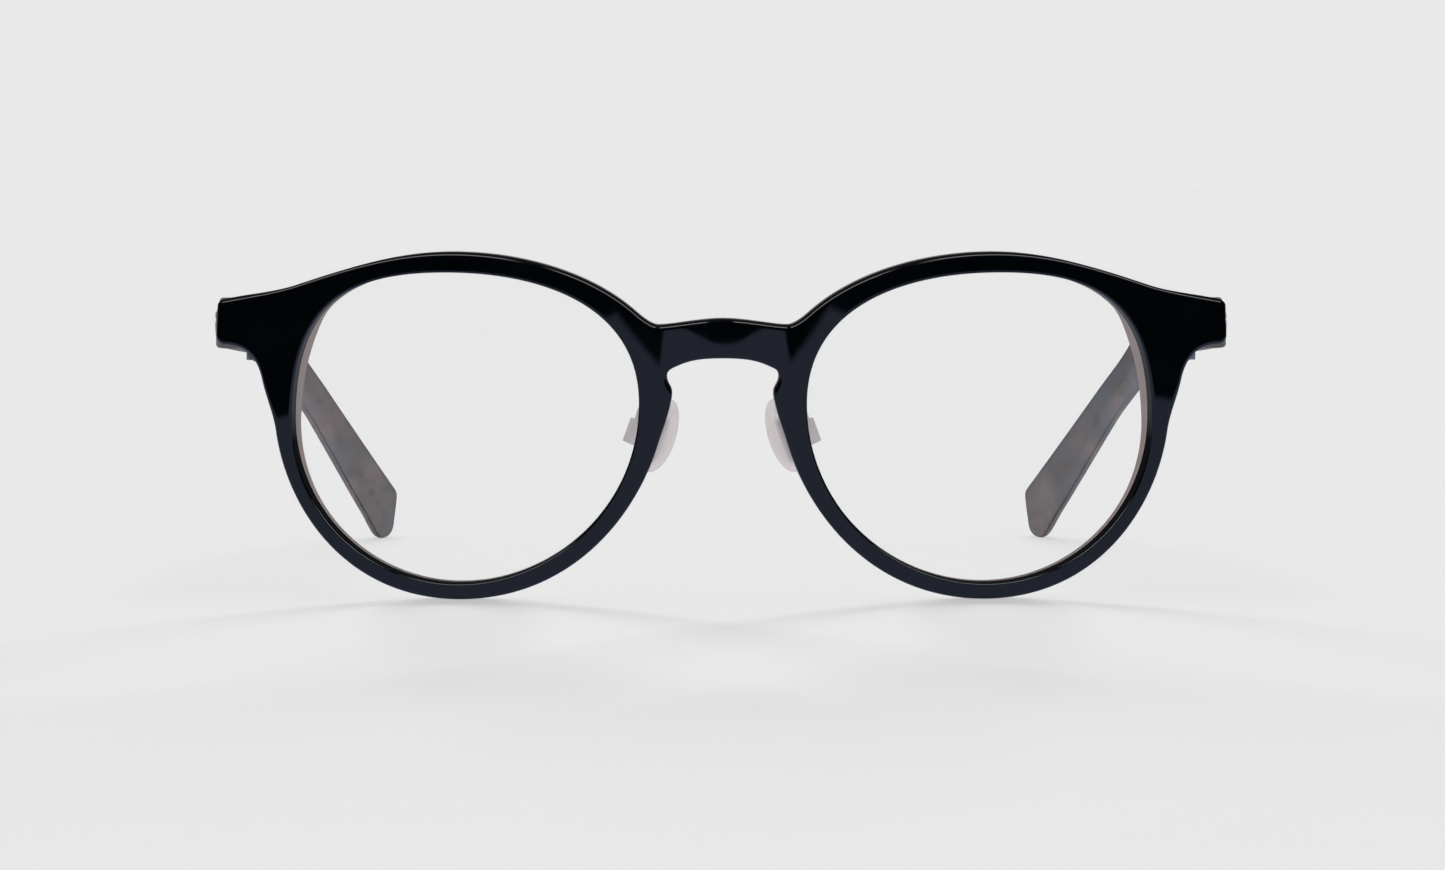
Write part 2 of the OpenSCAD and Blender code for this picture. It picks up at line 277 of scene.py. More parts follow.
# ---------------------------------------------------------------- mesh building
EASE = 0.2
ARC_STEPS = 5
GRID_CLEARANCE = 0.55


def rounded_section(front_r, back_r):
    """Rows from the front face, round both edges, to the back face.
    A row is (inset, share of the thickness, extra depth)."""
    arc = [math.radians(90 * i / ARC_STEPS) for i in range(ARC_STEPS + 1)]
    front = [(front_r * (1 - math.sin(a)), 0, front_r * (1 - math.cos(a))) for a in arc]
    back = [(back_r * (1 - math.sin(a)), 1, -back_r * (1 - math.cos(a))) for a in reversed(arc)]
    on_wall = [(0, 0, front_r + EASE), (0, 1, -back_r - EASE)]
    return [(front_r + EASE, 0, 0)] + front + on_wall + back + [(back_r + EASE, 1, 0)]


def grid_inside(loops, spacing, dense=None):
    """Grid points on the face between an outline and its holes, clear of every edge.
    dense is a part with a finer grid, as (low corner, high corner, spacing)."""
    low, high = loops[0].min(0), loops[0].max(0)

    def grid(lo, hi, gap):
        axes = [np.arange(a + gap / 2, b, gap) for a, b in zip(lo, hi)]
        return np.array([(a, b) for a in axes[0] for b in axes[1]]).reshape(-1, 2), gap

    sets = [grid(low, high, spacing)]
    if dense:
        lo, hi, gap = dense
        coarse = sets[0][0]
        outside = ~((coarse > np.array(lo) - gap).all(1) & (coarse < np.array(hi) + gap).all(1))
        sets = [(coarse[outside], spacing), grid(lo, hi, gap)]
    kept = []
    for points, gap in sets:
        if not len(points):
            continue
        points = points[inside(points, loops[0])]
        for hole in loops[1:]:
            points = points[~inside(points, hole)]
        for loop in loops:
            near = np.array([np.hypot(*(loop - p).T).min() for p in points])
            points = points[near > GRID_CLEARANCE * gap]
        kept.append(points)
    return np.concatenate(kept)


def face_triangles(loops, extra):
    """Triangles of a face with holes, as indices into the loops' points followed by the extra ones."""
    points = np.concatenate(loops + [extra])
    edges, start = [], 0
    for loop in loops:
        count = len(loop)
        edges += [(start + i, start + (i + 1) % count) for i in range(count)]
        start += count
    made = delaunay_2d_cdt([Vector(p) for p in points], edges, [], 0, 1e-7)
    sources = [s[0] for s in made[3]]
    triangles = np.array([[sources[i] for i in f] for f in made[2]])
    middles = points[triangles].mean(1)
    keep = inside(middles, loops[0])
    for hole in loops[1:]:
        keep &= ~inside(middles, hole)
    return triangles[keep].tolist()


def to_object(name, vertices, faces, sharp=40.0):
    """A closed mesh object with smooth faces and sharp creases."""
    mesh = bpy.data.meshes.new(name)
    mesh.from_pydata([tuple(v) for v in vertices], [], faces)
    work = bmesh.new()
    work.from_mesh(mesh)
    bmesh.ops.recalc_face_normals(work, faces=work.faces)
    work.to_mesh(mesh)
    work.free()
    mesh.shade_smooth()
    mesh.set_sharp_from_angle(angle=math.radians(sharp))
    piece = bpy.data.objects.new(name, mesh)
    bpy.context.scene.collection.objects.link(piece)
    return piece


def slab(name, loops, section, place, spacing=1.2, dense=None, radius=None):
    """A solid between two faces with rounded edges. loops are an outline and its holes, clockwise.
    place(points, share, extra) gives places in metres; radius(points) scales the section's insets."""
    vertices, faces, rings = [], [], []
    total = 0
    for inset, share, extra in section:
        row = []
        for number, loop in enumerate(loops):
            scale = np.ones(len(loop)) if radius is None else radius(loop)
            moved = offset(loop, (1 if number else -1) * inset * scale)
            vertices.append(place(moved, share, extra * scale))
            row.append((total, moved))
            total += len(loop)
        rings.append(row)
    for upper, lower in zip(rings, rings[1:]):
        for (a, points), (b, _) in zip(upper, lower):
            count = len(points)
            faces += [(a + i, a + (i + 1) % count, b + (i + 1) % count, b + i) for i in range(count)]
    for row, share in ((rings[0], 0), (rings[-1], 1)):
        flat = [points for _, points in row]
        extra = grid_inside(flat, spacing, dense)
        edge_count = sum(len(p) for p in flat)
        for triangle in face_triangles(flat, extra):
            faces.append([i + row[0][0] if i < edge_count else i - edge_count + total for i in triangle])
        vertices.append(place(extra, share, 0 * extra[:, 0]))
        total += len(extra)
    return to_object(name, np.concatenate(vertices), faces)


def tube(name, points, radius, sides=20):
    """A round bar along a line of points, with closed ends."""
    points = [Vector(p) for p in points]
    vertices, faces = [], []
    across = Vector((1, 0, 0))
    for i, p in enumerate(points):
        along = (points[min(i + 1, len(points) - 1)] - points[max(i - 1, 0)]).normalized()
        across = (across - along * across.dot(along)).normalized()
        up = along.cross(across)
        for k in range(sides):
            a = 2 * math.pi * k / sides
            vertices.append(p + radius * (math.cos(a) * across + math.sin(a) * up))
    for i in range(len(points) - 1):
        for k in range(sides):
            a, b = i * sides + k, i * sides + (k + 1) % sides
            faces.append((a, b, b + sides, a + sides))
    faces.append(tuple(range(sides)))
    faces.append(tuple(range(len(points) * sides - sides, len(points) * sides)))
    return to_object(name, vertices, faces)


def smooth_path(points, per_span=12):
    """Points on a smooth curve through the given ones."""
    p = [np.array(q, float) for q in points]
    p = [2 * p[0] - p[1]] + p + [2 * p[-1] - p[-2]]
    made = []
    for a, b, c, d in zip(p, p[1:], p[2:], p[3:]):
        for i in range(per_span):
            t = i / per_span
            linear = (c - a) * t
            square = (2 * a - 5 * b + 4 * c - d) * t**2
            cubic = (3 * b - a - 3 * c + d) * t**3
            made.append(0.5 * (2 * b + linear + square + cubic))
    return made + [p[-2]]


# ---------------------------------------------------------------- materials
def new_material(name, **values):
    """A material with its Principled node's sockets set, and the tools to wire it."""
    material = bpy.data.materials.new(name)
    material.use_nodes = True
    tree = material.node_tree
    shader = tree.nodes["Principled BSDF"]
    for socket, value in values.items():
        shader.inputs[socket.replace("_", " ")].default_value = value
    return material, tree, shader


def add_node(tree, kind, links=None, **values):
    """A node with its sockets set or linked, by socket name."""
    node = tree.nodes.new(kind)
    for socket, value in values.items():
        node.inputs[socket.replace("_", " ")].default_value = value
    for socket, source in (links or {}).items():
        tree.links.new(source, node.inputs[socket])
    return node


def noise(tree, scale, detail=3.0, stretch=(1, 1, 1), roughness=0.5, distortion=0.0, shift=(0, 0, 0)):
    """Noise fixed to the piece, in metres, drawn out by stretch."""
    place = tree.nodes.new("ShaderNodeTexCoord")
    mapping = add_node(tree, "ShaderNodeMapping", {"Vector": place.outputs["Object"]})
    mapping.inputs["Scale"].default_value = [scale / s for s in stretch]
    mapping.inputs["Location"].default_value = shift
    texture = add_node(
        tree, "ShaderNodeTexNoise", {"Vector": mapping.outputs[0]},
        Scale=1.0, Detail=detail, Roughness=roughness, Distortion=distortion,
    )
    return texture.outputs["Fac"]


def ramp(tree, factor, stops):
    """Colour ramp of (position, colour) stops."""
    node = tree.nodes.new("ShaderNodeValToRGB")
    tree.links.new(factor, node.inputs["Fac"])
    while len(node.color_ramp.elements) < len(stops):
        node.color_ramp.elements.new(0.5)
    for element, (position, colour) in zip(node.color_ramp.elements, stops):
        element.position = position
        element.color = (*colour, 1) if len(colour) == 3 else colour
    return node.outputs["Color"]


def spread(tree, factor, low, high, start=0.3, end=0.7):
    """A noise value spread over a range of numbers."""
    node = add_node(tree, "ShaderNodeMapRange", {"Value": factor}, To_Min=low, To_Max=high)
    node.inputs["From Min"].default_value = start
    node.inputs["From Max"].default_value = end
    return node.outputs["Result"]


def smooth_range(tree, value, start, end):
    """A value taken from one range to another, eased at both ends."""
    node = add_node(tree, "ShaderNodeMapRange", {"Value": value}, To_Min=end[0], To_Max=end[1])
    node.interpolation_type = "SMOOTHSTEP"
    node.inputs["From Min"].default_value, node.inputs["From Max"].default_value = start
    return node.outputs["Result"]


def mix_colours(tree, factor, a, b, blend="MIX"):
    node = tree.nodes.new("ShaderNodeMix")
    node.data_type = "RGBA"
    node.blend_type = blend
    for socket, value in (("Factor", factor), ("A", a), ("B", b)):
        target = next(s for s in node.inputs if s.name == socket and s.enabled)
        if isinstance(value, bpy.types.NodeSocket):
            tree.links.new(value, target)
        else:
            target.default_value = value
    return next(s for s in node.outputs if s.enabled)


def maths(tree, operation, a, b=0.0):
    node = tree.nodes.new("ShaderNodeMath")
    node.operation = operation
    for socket, value in zip(node.inputs, (a, b)):
        if isinstance(value, bpy.types.NodeSocket):
            tree.links.new(value, socket)
        else:
            socket.default_value = value
    return node.outputs[0]


def bump(tree, shader, height, strength, distance):
    node = add_node(tree, "ShaderNodeBump", {"Height": height}, Strength=strength, Distance=distance)
    tree.links.new(node.outputs["Normal"], shader.inputs["Normal"])


def black_acetate():
    """Deep blue-black, hand polished: faint cloudiness and the softest ripple."""
    material, tree, shader = new_material("black_acetate", IOR=1.49, Roughness=0.05)
    tones = [(0.3, (0.0008, 0.0012, 0.0019)), (0.7, (0.0014, 0.0021, 0.0034))]
    tree.links.new(ramp(tree, noise(tree, 180, detail=4), tones), shader.inputs["Base Color"])
    tree.links.new(spread(tree, noise(tree, 420, detail=5), 0.02, 0.045), shader.inputs["Roughness"])
    bump(tree, shader, noise(tree, 260, detail=1), 0.03, 0.00006)
    return material


def horn_acetate():
    """Grey-brown horn, a little translucent, with blue-grey clouds, rosy streaks and darker veins."""
    material, tree, shader = new_material(
        "horn_acetate", IOR=1.49, Roughness=0.16, Specular_IOR_Level=0.35,
        Subsurface_Weight=0.3, Subsurface_Scale=0.0015,
    )
    along = (0.8, 2.6, 1.0)
    base = ramp(tree, noise(tree, 110, stretch=along, distortion=0.6), [
        (0.30, (0.142, 0.132, 0.136)), (0.47, (0.176, 0.163, 0.167)), (0.60, (0.205, 0.187, 0.188)),
        (0.76, (0.245, 0.216, 0.213)),
    ])
    blue = noise(tree, 95, stretch=along, distortion=0.5, shift=(4, 9, 2))
    blue = spread(tree, blue, 0.0, 0.85, 0.46, 0.68)
    rose = noise(tree, 150, stretch=(0.7, 3.4, 0.8), shift=(17, 3, 8))
    rose = spread(tree, rose, 0.0, 0.6, 0.50, 0.68)
    vein = noise(tree, 320, detail=6, stretch=(0.6, 3.0, 0.9), distortion=1.2, shift=(1, 6, 23))
    vein = spread(tree, vein, 0.0, 0.4, 0.55, 0.75)
    tinted = mix_colours(tree, blue, base, (0.150, 0.163, 0.190, 1))
    tinted = mix_colours(tree, rose, tinted, (0.262, 0.202, 0.190, 1))
    tinted = mix_colours(tree, vein, tinted, (0.092, 0.082, 0.088, 1))
    # The front's thin lamina is painted paler and pinker than the thick temples that butt against it: a painted
    # glow standing in for light shining through the thin translucent horn.
    place = tree.nodes.new("ShaderNodeTexCoord")
    split = add_node(tree, "ShaderNodeSeparateXYZ", {0: place.outputs["Object"]})
    painted_glow = smooth_range(tree, split.outputs["Y"], (BUTT_Y_M - 0.0001, BUTT_Y_M + 0.0001), (0.6, 0.0))
    tinted = mix_colours(tree, painted_glow, tinted, (0.56, 0.45, 0.42, 1))
    tree.links.new(tinted, shader.inputs["Base Color"])
    tree.links.new(spread(tree, noise(tree, 500, detail=5), 0.12, 0.24), shader.inputs["Roughness"])
    bump(tree, shader, noise(tree, 300, detail=1), 0.03, 0.00006)
    return material


def clear_lens():
    """Coated lens: clear, with the faint mirror of its coating and the odd trace of a wipe."""
    material = bpy.data.materials.new("clear_lens")
    material.use_nodes = True
    tree = material.node_tree
    tree.nodes.remove(tree.nodes["Principled BSDF"])
    wipe = noise(tree, 90, detail=5, stretch=(3, 1, 1))
    haze = spread(tree, wipe, 0.01, 0.06)
    mirror = add_node(tree, "ShaderNodeBsdfGlossy", {"Roughness": haze}, Color=(0.75, 0.86, 1.0, 1))
    through = add_node(tree, "ShaderNodeBsdfTransparent", Color=(0.997, 0.999, 0.998, 1))
    edge_on = add_node(tree, "ShaderNodeLayerWeight", Blend=0.5)
    grazing = maths(tree, "POWER", edge_on.outputs["Facing"], 4.0)
    share = maths(tree, "ADD", maths(tree, "MULTIPLY", grazing, 0.22), 0.004)
    mix = add_node(tree, "ShaderNodeMixShader", {0: share, 1: through.outputs[0], 2: mirror.outputs[0]})
    tree.links.new(mix.outputs[0], tree.nodes["Material Output"].inputs["Surface"])
    return material


def clear_silicone():
    """Soft clear silicone, slightly rosy, with a milky bloom and a rubbed surface."""
    material, tree, shader = new_material(
        "clear_silicone", IOR=1.41, Roughness=0.2, Transmission_Weight=0.2, Alpha=0.5,
    )
    tones = [(0.3, (0.90, 0.80, 0.80)), (0.7, (0.97, 0.90, 0.90))]
    tree.links.new(ramp(tree, noise(tree, 260, detail=4), tones), shader.inputs["Base Color"])
    tree.links.new(spread(tree, noise(tree, 700, detail=4), 0.14, 0.26), shader.inputs["Roughness"])
    bump(tree, shader, noise(tree, 500, detail=1), 0.03, 0.00004)
    return material


def metal(name, dark, light, roughness, stretch, grain, plain=0.4):
    """Metal with drawn marks. dark and light are its colours, stretch is the marks' direction, and plain is
    the share of its look that is plain colour, because what it would mirror here is mostly dark."""
    material, tree, shader = new_material(name, Metallic=1 - plain, Roughness=roughness)
    marks = noise(tree, grain, detail=6, stretch=stretch, roughness=0.65)
    tree.links.new(ramp(tree, marks, [(0.3, dark), (0.7, light)]), shader.inputs["Base Color"])
    tree.links.new(spread(tree, marks, roughness * 0.7, roughness * 1.5), shader.inputs["Roughness"])
    bump(tree, shader, marks, 0.12, 0.00003)
    return material


MATERIALS = {
    "black_acetate": black_acetate(),
    "horn_acetate": horn_acetate(),
    "clear_lens": clear_lens(),
    "clear_silicone": clear_silicone(),
    "nickel_wire": metal("nickel_wire", (0.80, 0.74, 0.75), (0.96, 0.91, 0.92), 0.16, (1, 1, 3), 2500, 0.7),
    "bright_steel": metal("bright_steel", (0.56, 0.55, 0.56), (0.74, 0.73, 0.74), 0.18, (3, 3, 1), 3000),
    "hinge_steel": metal("hinge_steel", (0.36, 0.36, 0.37), (0.55, 0.55, 0.56), 0.3, (1, 4, 1), 2200, 0.1),
    "satin_steel": metal("satin_steel", (0.66, 0.65, 0.645), (0.84, 0.83, 0.82), 0.3, (1, 6, 1), 3500, 0.55),
}
SLOT_OF = {s["node"]: s["material_slot"] for s in frame["record"]["subparts"]}
BODY_OF = {n: b for b, members in frame["record"]["behaviour"]["bodies"].items() for n in members}


def dress(piece, slot):
    piece.data.materials.clear()
    piece.data.materials.append(MATERIALS[slot])


def stand_for(piece, node):
    """The piece replaces a CAD node, takes its finish and rides on its body."""
    dress(piece, SLOT_OF[node])
    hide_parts(node)
    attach(piece, BODY_OF[node])
    return piece


# ---------------------------------------------------------------- the front
def wrapped(x, depth):
    """Across and back on the wrapped sheet at some depth.
    Its walls are nearly square to its face, but run straight back at the two ends."""
    turned_in = WALL_TURN * (1 - smoothstep(*SQUARE_END_X, np.abs(x)))
    square_back = WRAP_R - (WRAP_R - depth) * np.sqrt(1 - (x / WRAP_R) ** 2)
    return x * (1 - turned_in * depth / WRAP_R), turned_in * square_back + (1 - turned_in) * sag(x, depth)


def place_face(points, share, extra):
    x, z = points.T
    depth = share * FACE_T + extra
    return leaned(*wrapped(x, depth), z - WALL_FALL * depth)


def rear_depth(x, z):
    """Back of the rear lamina: the wrapped sheet, with corners thickened to the plane the temples meet."""
    sheet = sag(x, FACE_T + BACK_T)
    butt = (BUTT_Y + z * math.sin(TILT)) / math.cos(TILT)
    need = butt - sheet
    smooth_need = 0.5 * (need + np.sqrt(need * need + BLOCK_SOFT * BLOCK_SOFT))
    need = smooth_need - 0.5 * BLOCK_SOFT * np.exp(-np.abs(need))
    return sheet + smoothstep(*BLOCK_X, np.abs(x)) * np.maximum(need, 0)


def place_rear(points, share, extra):
    """Points of the rear lamina. The corner blocks run level to the back, flush with the temples."""
    x, z = points.T
    thickness = rear_depth(x, z) - sag(x, FACE_T)
    depth = share * thickness + extra
    block = smoothstep(*BLOCK_X, np.abs(x)) * smoothstep(*BLOCK_Z, z)
    fall = WALL_FALL + (math.tan(TILT) - WALL_FALL) * block
    across, _ = wrapped(x, FACE_T + depth)
    _, near = wrapped(x, FACE_T)
    return leaned(across, near + depth, z - WALL_FALL * FACE_T - fall * depth)


def make_front():
    loops = [OUTER] + OPENINGS

    def radius(loop):
        return np.full(len(loop), 1.0 if loop is OUTER else OPENING_EDGE_SHARE)

    face = slab("front_face", loops, rounded_section(FACE_EDGE_R, BOND_EDGE_R), place_face, radius=radius)
    stand_for(face, "front_lamina")
    back = slab("front_back", loops, rounded_section(BOND_EDGE_R, REAR_EDGE_R), place_rear)
    stand_for(back, "rear_lamina")


def make_lens(side):
    def place(points, share, extra):
        x, z = points.T
        depth = LENS_FRONT + share * LENS_T + extra
        return leaned(*wrapped(x, depth), z - WALL_FALL * depth)

    rim = OPENING if SIDES[side] > 0 else mirrored(OPENING)
    section = rounded_section(LENS_EDGE_R, LENS_EDGE_R)
    lens = slab(f"{side}_lens_clear", [offset(rim, LENS_IN_GROOVE)], section, place, spacing=2.5)
    stand_for(lens, f"{side}_lens")


# ---------------------------------------------------------------- the temples
def along_y(nodes):
    """x as a function of y, from a curve in plan."""
    line = with_end(nodes, step=0.25)
    line = line[np.argsort(line[:, 1])]
    return lambda y: np.interp(y, line[:, 1], line[:, 0])


temple_outer_x = along_y(TEMPLE_OUTER_NODES)
temple_inner_curve = along_y(TEMPLE_INNER_NODES)


def temple_inner_x(y):
    """Inner face of a temple, with the hollow that clears the hinge barrel."""
    reach = np.sqrt(np.maximum(RELIEF_R**2 - (y - HINGE_Y) ** 2, 0))
    curve = temple_inner_curve(y)
    return np.where(reach > 0, np.maximum(curve, HINGE_X + reach), curve)


def temple_outline():
    edge = with_end(TEMPLE_SIDE_NODES)
    first, last = edge[0], edge[-1]
    butt = [last + (first - last) * i / BUTT_STEPS for i in range(1, BUTT_STEPS)]
    return np.vstack([edge, butt])


def make_temple(side):
    sign = SIDES[side]

    def place(points, share, extra):
        y, z = points.T
        up = smoothstep(*TOP_FALL_SHARE, (z - TEMPLE_MIDDLE_Z) / TEMPLE_HALF_H)
        outer = temple_outer_x(y) - TEMPLE_TOP_FALL * up * (1 - smoothstep(*TOP_FALL_Y, y))
        x = outer - share * (outer - temple_inner_x(y)) - extra
        return centred(sign * x, y, z)

    def radius(points):
        y = points[:, 0]
        return TEMPLE_BUTT_R + (TEMPLE_EDGE_R - TEMPLE_BUTT_R) * smoothstep(*BUTT_R_Y, y)

    arm = slab(
        f"{side}_temple_arm", [temple_outline()], rounded_section(1, 1), place,
        spacing=1.4, dense=HINGE_END_GRID, radius=radius,
    )
    stand_for(arm, f"{side}_temple")


def make_plate(side):
    """The slim metal plate let into the temple's outer face."""
    sign = SIDES[side]
    half = (PLATE_L - PLATE_H) / 2
    r = PLATE_H / 2
    turns = [math.radians(a) for a in range(90, -91, -6)]
    front_end = [(half + r * math.cos(a), r * math.sin(a)) for a in turns]
    outline = np.array(front_end + [(-y, -z) for y, z in front_end]) + [PLATE_Y, PLATE_Z]

    def place(points, share, extra):
        y, z = points.T
        return centred(sign * (PLATE_X - share * PLATE_T - extra), y, z)

    section = rounded_section(PLATE_FACE_R, PLATE_BACK_R)
    plate = slab(f"{side}_side_plate", [outline], section, place, spacing=0.6)
    stand_for(plate, f"{side}_trim_plate")


# ---------------------------------------------------------------- the nose pads
def from_pad(side, x, y, z):
    """A pad's own coordinates to the row frame: its Y faces the nose and its X is the screw's line."""
    turned_x = x * math.cos(PAD_TURN) - y * math.sin(PAD_TURN)
    turned_y = x * math.sin(PAD_TURN) + y * math.cos(PAD_TURN)
    splayed_x = turned_x * math.cos(PAD_SPLAY) + z * math.sin(PAD_SPLAY)
    splayed_z = z * math.cos(PAD_SPLAY) - turned_x * math.sin(PAD_SPLAY)
    px, py, pz = PAD_POS
    return centred(SIDES[side] * (splayed_x + px), turned_y + py, splayed_z + pz)


def make_pad(side):
    """A soft pad: crowned on both faces, a little narrower at its top."""
    turns = np.radians(np.arange(180, -180, -5))
    height = PAD_H / 2 * np.sin(turns)
    width = PAD_W / 2 * np.cos(turns) * (1 - PAD_TAPER * height / (PAD_H / 2)) * PAD_WIDTH_SHARE
    outline = np.column_stack([width, height + PAD_RISE])

    def place(points, share, extra):
        x, z = points.T
        fall = PAD_DOME * ((2 * x / PAD_W) ** 2 + (2 * (z - PAD_RISE) / PAD_H) ** 2)
        near = PAD_T / 2 - fall
        far = -PAD_T / 2 + PAD_BACK_DOME_SHARE * fall
        return from_pad(side, x, near - share * (near - far) - extra, z)

    section = rounded_section(PAD_EDGE_R, PAD_EDGE_R * PAD_BACK_EDGE_SHARE)
    pad = slab(f"{side}_soft_pad", [outline], section, place, spacing=0.7)
    stand_for(pad, f"{side}_nose_pad")


def make_arm(side):
    """The bent wire from the rim, ending in the two-walled box that holds the pad's lug."""
    path = [centred(SIDES[side] * x, y, z)[0] for x, y, z in smooth_path(ARM_PATH)]
    wire = tube(f"{side}_pad_wire", path, ARM_R * MM)

    def place(points, share, extra):
        x, y = points.T
        return from_pad(side, x, y, BOX_H / 2 - share * BOX_H - extra)

    clockwise = np.array(BOX_OUTLINE)
    corners = np.vstack([clockwise, clockwise[:1]])
    steps = [a + (b - a) * i / BOX_STEPS for a, b in zip(corners, corners[1:]) for i in range(BOX_STEPS)]
    section = rounded_section(BOX_EDGE_R, BOX_EDGE_R)
    box = slab(f"{side}_pad_box", [np.array(steps)], section, place, spacing=0.4)
    stand_for(wire, f"{side}_pad_arm")
    dress(box, SLOT_OF[f"{side}_pad_arm"])
    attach(box, BODY_OF[f"{side}_pad_arm"])


# ---------------------------------------------------------------- the metal parts as packed
BROKEN_EDGE = {
    "hinge_screw": 0.06, "front_hinge": 0.08, "temple_hinge": 0.1, "pad_screw": 0.05,
    "pad_core": 0.05, "core_wire": 0.08, "trim_pins": 0.05,
}
WELD_GAP = 1e-6
BROKEN_EDGE_ANGLE = math.radians(35)


def finish_metal(node, edge):
    """A packed metal part keeps its shape and gets broken edges and its finish."""
    piece = frame["nodes"][node]
    dress(piece, SLOT_OF[node])
    weld = piece.modifiers.new("weld", "WELD")
    weld.merge_threshold = WELD_GAP
    bevel = piece.modifiers.new("broken_edges", "BEVEL")
    bevel.width = edge * MM
    bevel.segments = 2
    bevel.limit_method = "ANGLE"
    bevel.angle_limit = BROKEN_EDGE_ANGLE
    even = piece.modifiers.new("even_normals", "WEIGHTED_NORMAL")
    even.keep_sharp = False


make_front()
for side in SIDES:
    make_lens(side)
    make_temple(side)
    make_plate(side)
    make_pad(side)
    make_arm(side)
    for part, edge in BROKEN_EDGE.items():
        finish_metal(f"{side}_{part}", edge)


# ---------------------------------------------------------------- studio
PALE = 0.8148
TABLE_ALBEDO = 0.1
# Lamps for the table: azimuth, elevation and size in degrees, and share of the table's light. The low ones
# behind throw only the front's shadow, and the high one only the temples'.
BACK_LAMPS = [(-17, 11, 15, 0.16), (17, 11, 15, 0.16)]
TOP_LAMPS = [(0, 80, 50, 0.22)]
CONTACT_Y = -MIDDLE_Y * MM
FLOOR_REACH = 30.0


def make_world():
    """An even pale studio for sight and for soft light. What gloss mirrors of it is much darker."""
    world = bpy.data.worlds.new("studio")
    bpy.context.scene.world = world
    world.use_nodes = True
    tree = world.node_tree
    even = tree.nodes["Background"]
    even.inputs["Color"].default_value = (PALE, PALE, PALE, 1)
    direction = tree.nodes.new("ShaderNodeTexCoord")
    split = add_node(tree, "ShaderNodeSeparateXYZ", {0: direction.outputs["Generated"]})
    height = add_node(tree, "ShaderNodeMapRange", {"Value": split.outputs["Z"]})
    height.inputs["From Min"].default_value = -1
    tones = ramp(tree, height.outputs["Result"], [
        (0.0, (0.30, 0.31, 0.34)), (0.46, (0.15, 0.155, 0.17)), (0.50, (0.020, 0.021, 0.024)),
        (0.74, (0.020, 0.021, 0.024)), (1.0, (0.07, 0.07, 0.072)),
    ])
    mirrored_sky = add_node(tree, "ShaderNodeBackground", {"Color": tones})
    ray = tree.nodes.new("ShaderNodeLightPath")
    mirrored_ray = maths(tree, "SUBTRACT", ray.outputs["Is Glossy Ray"], ray.outputs["Is Transmission Ray"])
    mirrored_ray.node.use_clamp = True
    sources = {0: mirrored_ray, 1: even.outputs[0], 2: mirrored_sky.outputs[0]}
    mix = add_node(tree, "ShaderNodeMixShader", sources)
    tree.links.new(mix.outputs[0], tree.nodes["World Output"].inputs["Surface"])


def level_corners(x_range, y_range, z):
    (left, right), (front, back) = x_range, y_range
    return [(left, front, z), (right, front, z), (right, back, z), (left, back, z)]


def plane(name, corners, material):
    mesh = bpy.data.meshes.new(name)
    mesh.from_pydata(corners, [], [(0, 1, 2, 3)])
    mesh.materials.append(material)
    thing = bpy.data.objects.new(name, mesh)
    bpy.context.scene.collection.objects.link(thing)
    return thing


def make_floor():
    """A pale table, mostly evenly bright, with a share of its light left to the lamps that cast shadows."""
    glow = PALE * (1 - TABLE_ALBEDO - sum(share for _, _, _, share in BACK_LAMPS + TOP_LAMPS))
    material, tree, shader = new_material(
        "pale_floor", Roughness=1.0, Specular_IOR_Level=0.0,
        Emission_Color=(glow, glow, glow, 1), Emission_Strength=1.0,
    )
    grain = noise(tree, 40, detail=3)
    tones = [(at, (TABLE_ALBEDO * k,) * 3) for at, k in ((0.3, 0.995), (0.7, 1.005))]
    tree.links.new(ramp(tree, grain, tones), shader.inputs["Base Color"])
    across = (-FLOOR_REACH, FLOOR_REACH)
    floor = plane("floor", level_corners(across, across, 0), material)
    floor.visible_glossy = False
    lit = bpy.data.collections.new("lit_by_lamps")
    lit.objects.link(floor)
    return lit


def only_mirrored(thing):
    thing.visible_camera = False
    thing.visible_diffuse = False
    thing.visible_shadow = False
    thing.visible_transmission = False


def emission(name):
    material = bpy.data.materials.new(name)
    material.use_nodes = True
    tree = material.node_tree
    tree.nodes.remove(tree.nodes["Principled BSDF"])
    glow = tree.nodes.new("ShaderNodeEmission")
    tree.links.new(glow.outputs[0], tree.nodes["Material Output"].inputs["Surface"])
    return material, tree, glow


# The light patch on the table, in metres. Its outer edge is given by how far ahead of the rims it lies.
PATCH_X = 0.0018
PATCH_HALF = 0.0161
# The edge beyond PATCH_HALF rises to a corner and drops after it: (distance across, slope, how far ahead).
PATCH_RISE = (0.0163, 1.8, 0.093)
PATCH_DROP = (0.030, 0.8, 0.116)
PATCH_LEAN = 0.045
# The notch before the bridge: distances across, and how far ahead the edge lies at them.
NOTCH_ACROSS = (0.001, 0.0125)
NOTCH_AHEAD = (0.1022, 0.1094)
MIDDLE_SOFTNESS = 0.0008
EXTRA_SIDE_SOFTNESS = 0.0018
PATCH_SIDE = 0.4
PATCH_BEHIND = 0.12
PATCH_AHEAD = 0.5
PATCH_Z = 0.0004


